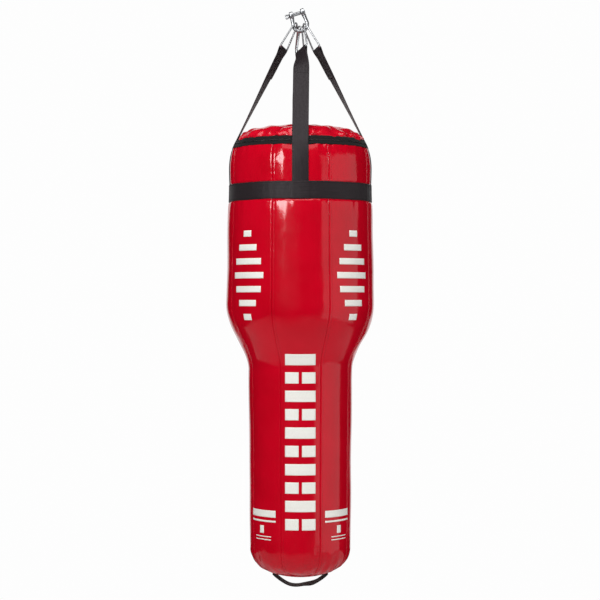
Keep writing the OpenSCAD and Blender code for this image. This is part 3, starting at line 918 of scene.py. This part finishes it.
def build_zip():
    """The two tapes of the zip, rippled along their sewn edges, and its teeth."""
    x = np.linspace(0, 2 * math.pi, 360, endpoint=False)
    near, far = 2.3 * MM, ZIP_LEN / 2 - 0.3 * MM
    for side, name in ((1, "upper"), (-1, "lower")):
        up = np.linspace(near, far, 9) if side > 0 else np.linspace(-far, -near, 9)
        X, U = np.meshgrid(x, up)
        edge = np.clip((np.abs(U) - 4 * MM) / (far - 4 * MM), 0, 1)
        ripple = 0.7 * MM * waves(X, 61 + side, 30, 60) * edge
        outer, inner = (zip_point(X, U, ripple + off) for off in (0.5 * MM, -0.5 * MM))
        uv = np.stack([U, X * RIM_R], -1)
        slab(f"zip_cloth_{name}", outer, inner, TAPE, "zip_tape", f"zip_tape_{name}", uv)
    build_teeth()


def tooth_mesh(centre, row, turn):
    """Vertices and faces of one tooth at angle centre. Its head is wider than its foot."""
    block = [(-1, 0.0), (-1, 0.75), (-1, 1.0), (1, 1.0), (1, 0.75), (1, 0.0)]
    verts = []
    for wide in (-1, -0.7, 0.7, 1):
        grow = 1.0 if abs(wide) < 0.9 else 0.72
        for face, reach in block:
            up = row * (2.7 - 3.4 * reach) * MM
            out = face * 1.45 * MM * grow * (1 if reach < 0.9 else 0.8)
            spread = wide * turn * (0.34 if reach > 0.6 else 0.26)
            verts.append(zip_point(np.array(centre + spread), up, out))
    ends = [tuple(range(6)), tuple(reversed(range(18, 24)))]
    return verts, grid_faces(4, 6, False, True) + ends


def build_teeth():
    """Two rows of moulded teeth along the middle of the zip, half a tooth apart."""
    count = 330
    turn = 2 * math.pi / count
    rows = ((-1, 0), (1, 0.5))
    teeth = [tooth_mesh((k + shift) * turn, row, turn) for row, shift in rows for k in range(count)]
    piece("zip_coil", *joined(teeth), TEETH, "zip_metal", "zip_teeth")


# ---- shackle and rings ----

SHACKLE_X = np.array([math.cos(LEAN), 0, math.sin(LEAN)])
SHACKLE_Z = np.array([-math.sin(LEAN), 0, math.cos(LEAN)])
SHACKLE_AT = -BOW_DROP * math.tan(LEAN) * SHACKLE_X


def in_shackle(points):
    """Points in the shackle's own frame, pin along X and bow hanging down -Z, moved to their place."""
    points = np.asarray(points, float)
    return SHACKLE_AT + points[:, :1] * SHACKLE_X + points[:, 1:2] * [0, 1, 0] + points[:, 2:] * SHACKLE_Z


def about_pin(profile):
    """A profile of (radius, place along the pin) turned about the pin's axis."""
    verts, faces = lathe_mesh(profile, 48)
    verts = np.stack([verts[:, 2], verts[:, 0], verts[:, 1]], -1)
    return in_shackle(verts), faces


def rounded_ring(inner, outer, low, high, fillet, steps=4):
    """Section of a ring with rounded edges, from its bore to its outside."""
    section = []
    for r, z, first in ((outer, high, 0), (inner, high, 90), (inner, low, 180), (outer, low, 270)):
        cr = r - fillet if r == outer else r + fillet
        cz = z - fillet if z == high else z + fillet
        for a in np.radians(first + np.linspace(0, 90, steps + 1)):
            section.append((cr + fillet * math.cos(a), cz + fillet * math.sin(a)))
    return section


def bow_path(ear_mid):
    """The middle line of the bow, from the left ear round the bottom to the right ear."""
    leg = math.degrees(math.asin(BOW_R / math.hypot(BOW_DROP, ear_mid)) - math.atan2(ear_mid, BOW_DROP))
    angles = np.radians(np.linspace(180 - leg, 360 + leg, 60))
    arc = np.stack([BOW_R * np.cos(angles), 0 * angles, -BOW_DROP + BOW_R * np.sin(angles)], -1)
    reach = EAR_R - 2 * MM
    ends = []
    for corner, way in ((arc[0], -1), (arc[-1], 1)):
        eye = np.array([way * ear_mid, 0, 0])
        steps = np.linspace(0, 1, 9)[1:] if way > 0 else np.linspace(1, 0, 9)[:-1]
        stop = eye + (corner - eye) * reach * 0.72 / np.linalg.norm(corner - eye)
        ends.append([corner + (stop - corner) * t for t in steps])
    return np.concatenate([ends[0], arc, ends[1]])


def build_bow():
    """The forged bow: a rod that thickens towards its two ears."""
    ear_mid = (JAW_W + EAR_T) / 2
    path = bow_path(ear_mid)
    swell = ROD_R * (1 + 0.16 * smooth((path[:, 2] + 22 * MM) / (16 * MM)))
    parts = [rod_mesh(in_shackle(path), swell, around_n=28)]
    for side in (-1, 1):
        low = side * ear_mid - EAR_T / 2
        parts.append(about_pin(rounded_ring(PIN_R + 0.1 * MM, EAR_R, low, low + EAR_T, 1.6 * MM)))
    piece("forged_bow", *joined(parts), STEEL, "shackle_chrome", "shackle_bow", body="bow")


def pin_profile(face, head, tip):
    """Half section of the pin's shank: collar, smooth shank and a short thread at its end."""
    axis, pitch, depth = 0.05 * MM, 1 * MM, 0.45 * MM
    thread_start = JAW_W / 2 + 1 * MM
    section = [(axis, face), (5 * MM, face), (6 * MM, face + 0.6 * MM), (6 * MM, head - 0.5 * MM)]
    section += [(5.4 * MM, head), (PIN_R, head + 0.3 * MM), (PIN_R, thread_start)]
    at = thread_start
    while at < tip - 1.5 * MM:
        section += [(PIN_R - depth, at + pitch / 2), (PIN_R, at + pitch)]
        at += pitch
    return section + [(PIN_R - 0.2 * MM, tip - 0.8 * MM), (PIN_R - 1 * MM, tip), (axis, tip)]


def pin_head(face):
    """The pin's flat head beyond its collar: an oblong plate with rounded edges and a hole through it."""
    length, height, thick, hole = 10 * MM, 14 * MM, 5 * MM, 2.5 * MM
    squareness = 0.62
    centre = np.array([face - length / 2, 0])
    a = np.linspace(0, 2 * math.pi, 40, endpoint=False)
    cos, sin = np.cos(a), np.sin(a)
    outer = np.stack([length / 2 * np.sign(cos) * np.abs(cos) ** squareness,
                      height / 2 * np.sign(sin) * np.abs(sin) ** squareness], -1)
    bore = hole * np.stack([cos, sin], -1)
    rings = []
    for k in np.linspace(-1, 1, 9):
        shrink = 1 - 0.16 * (1 - math.sqrt(max(0, 1 - abs(k) ** 3)))
        rings.append((outer * shrink, k * thick / 2))
    for k in np.linspace(1, -1, 5):
        flare = 1 + 0.25 * abs(k) ** 4
        rings.append((bore * flare, k * thick / 2 * 0.94))
    points = [np.stack([centre[0] + flat[:, 0], 0 * a + y, flat[:, 1]], -1) for flat, y in rings]
    return in_shackle(np.concatenate(points)), grid_faces(len(rings), len(a), True, True)


def build_pin():
    """The screw pin, with its collar and flat eye head."""
    end = JAW_W / 2 + EAR_T
    head, tip = -end - 1.2 * MM, end + 1.5 * MM
    face = head - 2.5 * MM
    parts = [about_pin(pin_profile(face, head, tip)), pin_head(face)]
    piece("screw_pin", *joined(parts), STEEL, "shackle_chrome", "shackle_pin", body="pin")


def ring_path():
    """The middle line of a triangle ring in its own plane: a round apex and two small corners below."""
    corner = (RING_W / 2 + WIRE_R - CORNER_R, RING_LEN - CORNER_R)
    lean = math.degrees(math.atan2(*corner) - math.asin((APEX_R - CORNER_R) / math.hypot(*corner)))

    def arc(x, z, r, a0, a1, n):
        a = np.radians(np.linspace(a0, a1, n))
        return np.stack([x + r * np.cos(a), z + r * np.sin(a)], -1)

    def line(a, b, n):
        return a + (b - a) * np.linspace(0, 1, n + 2)[1:-1, None]
    apex = arc(0, 0, APEX_R, lean, 180 - lean, 28)
    left = arc(-corner[0], -corner[1], CORNER_R, 180 - lean, 270, 12)
    right = arc(corner[0], -corner[1], CORNER_R, -90, lean, 12)
    sides = [line(a[-1], b[0], 12) for a, b in ((apex, left), (left, right), (right, apex))]
    return np.concatenate([apex, sides[0], left, sides[1], right, sides[2]])


def build_rings():
    """The four bent rings, each with the bead of its weld."""
    path = ring_path()
    for spec in STRAPS:
        s = Strap(*spec)
        points = s.hook + path[:, :1] * s.bar + path[:, 1:] * -s.pull
        bead = np.array([s.middle + s.bar * k for k in np.linspace(-1.6, 1.6, 9) * MM])
        swell = WIRE_R + 0.35 * MM * np.sqrt(np.clip(1 - np.linspace(-1, 1, 9) ** 2, 0, 1)) - 0.05 * MM
        parts = [rod_mesh(points, WIRE_R, closed=True, around_n=18), rod_mesh(bead, swell, around_n=18)]
        piece(f"triangle_ring_{s.name}", *joined(parts), WIRE, "ring_chrome", f"ring_{s.name}")


# ---- bottom loop ----

def base_z(r):
    """Height of the drawn-up base at radius r."""
    return float(np.interp(length_on_base(r), OUT_S, OUT_Z) - tuck(r))


def build_loop():
    """The tether loop: its ends lie on the base, and its middle hangs a little unevenly."""
    foot_z = base_z(LOOP_REACH) - STRAP_T / 2 - 0.3 * MM
    xs = -np.cos(np.linspace(0, math.pi, 73))
    z = foot_z - (LOOP_SAG + 3 * MM) * (1 - xs ** 2) ** 0.9
    z += 2.8 * MM * bell(xs - 0.16, 0.22) - 1.8 * MM * bell(xs + 0.42, 0.25)
    path = np.stack([LOOP_REACH * xs, 0 * xs, z], -1)
    tilt = np.radians(1.5 + 4 * xs ** 2 + 4 * bell(xs - 0.38, 0.2))
    stations = []
    for middle, along, lean in zip(path, np.gradient(path, axis=0), tilt):
        along = unit(along)
        up = -unit(np.cross([0, 1, 0], along))
        wide = np.array([0, 1, 0]) * math.cos(lean) + up * math.sin(lean)
        stations.append((middle, wide, unit(np.cross(along, wide)), 0))
    tape("tether_webbing", stations, LOOP_WEB, "bottom_loop")


def build_loop_stitches():
    """Two rows of thread through each end of the loop, on the base."""
    lines = []
    for side in (-1, 1):
        for x0 in (70 * MM, 64 * MM):
            ys = np.linspace(-19, 19, 10) * MM
            points = [(side * x0, y, base_z(math.hypot(x0, y)) - 0.4 * MM) for y in ys]
            lines.append((points, [(0, 0, -1)] * len(ys)))
    stitches("tether_stitches", lines, 0.9 * MM, 4 * MM, THREAD, "webbing")


# ---- seam stitches and prints ----

def build_seam_stitches():
    """A row of thread beside each seam of the shell, but not under the band."""
    beside_seam = 8 * MM
    lines = []
    rows = np.linspace(4 * MM, RIM_TO_DISC - 8 * MM, 420)
    r, z, out_r, out_z = outline_at(rows)
    keep = (z > BAND_TOP + 3 * MM) | (z < BAND_BOTTOM - 3 * MM)
    parts = np.split(np.arange(len(rows)), np.flatnonzero(np.diff(keep.astype(int))) + 1)
    for i in range(8):
        x = math.radians(FIRST_SEAM + GORE * i) + beside_seam / r
        points = on_shell(x, rows, 0.05 * MM)
        normals = turned(x, out_r, out_z)
        lines += [(points[part], normals[part]) for part in parts if keep[part[0]] and len(part) > 3]
    stitches("seam_stitches", lines, 0.6 * MM, 6 * MM, RED_THREAD, "red_vinyl")


def print_grid(x0, x1, y0, y1):
    """A fine grid of points in a box. x runs round the bag and y is the height."""
    columns = max(3, int((x1 - x0) / (3 * MM)) + 1)
    rows = max(3, int((y1 - y0) / (3 * MM)) + 1)
    x, y = np.meshgrid(np.linspace(x0, x1, columns), np.linspace(y0, y1, rows))
    return np.stack([x, y], -1)


def print_piece(name, boxes, azimuth):
    """A thin raised print on the shell, from boxes of (x, x, height, height)."""
    parts = []
    for box in boxes:
        flat = print_grid(*box)
        x = math.radians(azimuth) + flat[..., 0] / side_r(flat[..., 1])
        s = length_at(flat[..., 1])
        parts.append(skin_mesh(on_shell(x, s, 0.45 * MM), on_shell(x, s, 0.12 * MM), wrap=False))
    piece(name, *joined(parts), PRINT, "white_print")


def build_prints():
    """Plain white blocks and bars: a column down the front, and on each side a stack and a small group."""
    half, gap, height, pitch, top = (v * MM for v in (42.5, 9, 31, 50.3, -957))
    column = []
    for k in range(10):
        y = top - pitch * k
        spans = [(-half, half)] if k % 2 == 0 else [(-half, -gap / 2), (gap / 2, half)]
        column += [(x0, x1, y - height, y) for x0, x1 in spans]
    print_piece("front_blocks", column, 270)

    widths, height, pitch, middle = (30, 68, 98, 114, 98, 68, 30), 17, 38, -742
    stack = []
    for k, width in enumerate(widths):
        y = middle + (3 - k) * pitch
        stack.append(np.array((-width / 2, width / 2, y - height / 2, y + height / 2)) * MM)
    group = np.array(((-49, 49, -1408, -1389), (-49, 49, -1421.5, -1416.5), (-8, 8, -1453, -1432),
                      (-28, 34, -1463, -1460.5), (-28, 34, -1471.5, -1469))) * MM
    for name, azimuth, lower_azimuth in (("left", 225, 221.5), ("right", 315, 318.5)):
        print_piece(f"side_bars_{name}", stack, azimuth)
        print_piece(f"lower_bars_{name}", group, lower_azimuth)


# ---- inside ----

ALL_ROUND = np.linspace(0, 2 * math.pi, 72, endpoint=False)
NEAR_AXIS = 0.5 * MM


def stuffed(name, node, profile, seed, rough, material, slot, fill):
    """A closed body of revolution with a lumpy skin that stays inside its profile of (radius, height).

    rough is about how deep the skin sinks."""
    profile = np.asarray(profile, float)
    along = np.concatenate([[0], np.cumsum(np.linalg.norm(np.diff(profile, axis=0), axis=1))])[:, None]
    sunk = rough * (0.55 + 0.45 * lumps(ALL_ROUND, along, seed, (3, 14), (0.04, 0.2)) / 1.6)
    r = np.maximum(profile[:, :1] - np.clip(sunk, 0, None), NEAR_AXIS)
    verts = turned(ALL_ROUND, r, profile[:, 1:]).reshape(-1, 3)
    n = len(ALL_ROUND)
    faces = grid_faces(len(profile), n, False, True)
    faces += [tuple(reversed(range(n))), tuple(range(len(verts) - n, len(verts)))]
    piece(name, verts, faces, material, slot, node, fill)


def inner_profile(inset, top):
    """The shell's outline moved in by inset, from height top to near the axis."""
    end = 0.985
    r, z, out_r, out_z = outline_at(np.linspace(float(length_at(top)), OUT_S[-1] * end, 70))
    return np.stack([np.maximum(r - inset * out_r, 1 * MM), z - inset * out_z], -1)


def hollow(name, node, inset, thick, top, material, slot, seed, fill):
    """A sleeve that follows the shell's outline, closed at the bottom, with a soft inner face."""
    grids = []
    for depth, softness in ((inset, 0), (inset + thick, 0.4 * MM)):
        profile = inner_profile(depth, top)
        r, z = profile[:, :1], profile[:, 1:]
        soft = softness * lumps(ALL_ROUND, z, seed, (3, 9), (0.1, 0.3))
        grids.append(turned(ALL_ROUND, np.maximum(r - np.abs(soft), NEAR_AXIS), z))
    slab(name, *grids, material, slot, node, fill=fill)


def build_inside():
    """The foam sleeve, the sack, its rags, the pad under the cover and the patch behind the tether loop."""
    hollow("foam_sleeve", "foam_liner", 7.4 * MM, 14.5 * MM, RIM_Z - 3 * MM, FOAM, "foam", 71, 0.9)
    sack_top = RIM_Z - 15 * MM
    hollow("filling_sack", "inner_sack", 23 * MM, 0.9 * MM, sack_top, SACK, "sack_cloth", 72, 0.9)
    core = inner_profile(25.5 * MM, sack_top - 2 * MM)
    stuffed("packed_rags", "filling", core, 73, 3 * MM, RAGS, "textile_filling", 0.95)
    edge = COVER_R - 17 * MM
    a = np.linspace(0, math.pi / 2 * 0.985, 18)
    crown = [(edge * math.cos(v), COVER_Z + 33 * MM * math.sin(v)) for v in a][::-1]
    under = sack_top + 2 * MM
    pad = crown + [(edge, COVER_Z - 12 * MM), (edge - 4 * MM, under), (20 * MM, under)]
    stuffed("crown_pad", "top_foam", pad, 74, 1.5 * MM, FOAM, "foam", 0.8)
    patch = inner_profile(2.6 * MM, BASE_Z - 60 * MM)
    patch = patch[patch[:, 0] < DISC_R - 10 * MM]
    under, over = (turned(ALL_ROUND, patch[:, :1], patch[:, 1:] + lift) for lift in (0, 1.2 * MM))
    slab("loop_patch", under, over, WEB, "webbing", "loop_backing", under[..., :2])


# ---- materials on the CAD nodes that stay ----

def dress_nodes():
    """Gives the zip's slider, pull and stop their paint."""
    for name in ("zip_slider", "zip_pull", "zip_stop"):
        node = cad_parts[name]
        node.data.materials.clear()
        node.data.materials.append(ZIP_METAL)


# ---- studio ----

WHITE = (1, 1, 1, 1)
FLOOR_Z = -2.05
CAMERA_AT = (-0.00085, -4.794, -0.8096)


def area_light(name, at, target, size, radiance, seen_by=("diffuse", "glossy"), spin=0.0):
    """A rectangular lamp of even radiance. spin turns it in its own plane, in degrees."""
    data = bpy.data.lights.new(name, "AREA")
    data.shape = "RECTANGLE"
    data.size, data.size_y = size
    data.energy = radiance * math.pi * size[0] * size[1]
    light = bpy.data.objects.new(name, data)
    light.location = at
    aim = (Vector(target) - Vector(at)).to_track_quat("-Z", "Y")
    light.rotation_euler = (aim @ Quaternion((0, 0, 1), math.radians(spin))).to_euler()
    light.visible_camera = False
    light.visible_diffuse = "diffuse" in seen_by
    light.visible_glossy = "glossy" in seen_by
    bpy.context.scene.collection.objects.link(light)


def glow(name, strength):
    """A material that shines white, evenly."""
    material = bpy.data.materials.new(name)
    material.use_nodes = True
    nodes = material.node_tree.nodes
    nodes.clear()
    emission = nodes.new("ShaderNodeEmission")
    emission.inputs["Color"].default_value = WHITE
    emission.inputs["Strength"].default_value = strength
    out = nodes.new("ShaderNodeOutputMaterial")
    material.node_tree.links.new(emission.outputs[0], out.inputs[0])
    return material


def faded_card(start, end, strength):
    """An even glow that fades in along Y, from start to end."""
    material = glow("card_grey", strength)
    tree = material.node_tree
    split = tree.nodes.new("ShaderNodeSeparateXYZ")
    fade = tree.nodes.new("ShaderNodeMapRange")
    for key, value in (("From Min", start), ("From Max", end), ("To Min", 0), ("To Max", strength)):
        fade.inputs[key].default_value = value
    tree.links.new(tree.nodes.new("ShaderNodeTexCoord").outputs["Object"], split.inputs[0])
    tree.links.new(split.outputs["Y"], fade.inputs["Value"])
    tree.links.new(fade.outputs["Result"], tree.nodes["Emission"].inputs["Strength"])
    return material


def stage_mesh(name, verts, faces, material, unseen_by=()):
    """A piece of the studio. unseen_by lists the kinds of ray that pass it by."""
    mesh = bpy.data.meshes.new(name)
    mesh.from_pydata([tuple(v) for v in verts], [], faces)
    mesh.materials.append(material)
    mesh.polygons.foreach_set("use_smooth", [True] * len(mesh.polygons))
    obj = bpy.data.objects.new(name, mesh)
    bpy.context.scene.collection.objects.link(obj)
    for kind in unseen_by:
        setattr(obj, f"visible_{kind}", False)


def build_studio():
    """The white surround, the cards, the even light all round and the lamps."""
    # Only the camera sees the surround, so that the vinyl reflects the lamps and the dark of the studio.
    rings = [(14 * math.cos(a), 14 * math.sin(a)) for a in np.linspace(-1.55, 1.55, 25)]
    dome = lathe_mesh(rings, 48, closed_profile=False)
    unseen = ("diffuse", "glossy", "transmission", "shadow", "volume_scatter")
    stage_mesh("surround", *dome, glow("surround_white", 0.985), unseen)
    build_floor()

    # A white wall behind the bag gives the vinyl its bright edges. A card below lifts the taper and base.
    wall = [(-1.9, 3.2, -2.0), (1.9, 3.2, -2.0), (1.9, 3.2, 1.2), (-1.9, 3.2, 1.2)]
    card = [(-2.2, -3.4, -2.0), (2.2, -3.4, -2.0), (2.2, 0.8, -2.0), (-2.2, 0.8, -2.0)]
    stage_mesh("white_wall", wall, [(0, 1, 2, 3)], glow("wall_white", 0.95), ("camera",))
    unseen = ("camera", "diffuse", "transmission", "shadow")
    stage_mesh("low_card", card, [(0, 1, 2, 3)], faded_card(-3.3, 0.3, 0.4), unseen)

    world = bpy.data.worlds.new("studio")
    world.use_nodes = True
    world.node_tree.nodes["Background"].inputs["Color"].default_value = WHITE
    world.node_tree.nodes["Background"].inputs["Strength"].default_value = 0.24
    world.cycles_visibility.glossy = False
    bpy.context.scene.world = world

    middle, upper_left = (0, 0, -0.85), (-0.05, -0.15, -0.45)
    area_light("soft_right", (2.03, -0.84, -0.82), (0, 0, -0.82), (2.6, 2.3), 0.72)
    area_light("key_gloss", (-1.12, -2.02, 0.1), upper_left, (0.8, 0.8), 13, ("glossy",), spin=-38)
    area_light("key_left", (-1.15, -1.99, 0.28), upper_left, (0.8, 0.6), 12.6, ("diffuse",))
    area_light("top", (0, -0.9, 1.9), middle, (2.0, 1.6), 3)
    area_light("high_front", (0, -2.6, 1.9), (0, 0, -0.1), (3.2, 1.3), 1.4)
    area_light("fill_front", (-1.4, -3.6, -0.2), (0, 0, -0.5), (2.4, 2.4), 1.75, ("diffuse",))
    area_light("fill_back", (0.4, 3.4, 0.4), middle, (2.4, 2.0), 2, ("diffuse",))


def build_floor():
    """A pale disc that fades into the white surround towards its edge."""
    radius = 2.15
    n = Nodes("pale_floor")
    distance = n.add("ShaderNodeVectorMath", operation="LENGTH")
    n.link(n.add("ShaderNodeTexCoord").outputs["Object"], distance.inputs[0])
    near, far = (math.hypot(FLOOR_Z, r) for r in (1.0, 2.1))
    fade = n.ramp(distance.outputs["Value"], 0, 1, near, far)
    n.link(n.mix(fade, (0.5, 0.5, 0.5, 1), (0, 0, 0, 1)), n.shader.inputs["Base Color"])
    n.link(n.ramp(fade, 0.36, 0.985), n.shader.inputs["Emission Strength"])
    n.set(Roughness=0.7, Specular_IOR_Level=0.0, Emission_Color=WHITE)
    rings = [(r, FLOOR_Z) for r in np.linspace(0.02, radius, 12)]
    verts, faces = lathe_mesh(rings, 96, closed_profile=False)
    faces.append(tuple(range(96)))
    stage_mesh("floor", verts, faces, n.material, ("glossy",))


def build_camera():
    """A level camera in front of the bag."""
    data = bpy.data.cameras.new("camera")
    data.sensor_width = 36
    data.lens = 102
    data.clip_end = 60
    camera = bpy.data.objects.new("camera", data)
    camera.location = CAMERA_AT
    camera.rotation_euler = (math.radians(90), 0, 0)
    bpy.context.scene.collection.objects.link(camera)
    bpy.context.scene.camera = camera
    bpy.context.scene.view_settings.view_transform = "Standard"


build_camera()
build_studio()
build_shell()
build_base()
build_straps()
build_band()
build_cover()
build_zip()
build_bow()
build_pin()
build_rings()
build_loop()
build_loop_stitches()
build_seam_stitches()
build_prints()
build_inside()
dress_nodes()
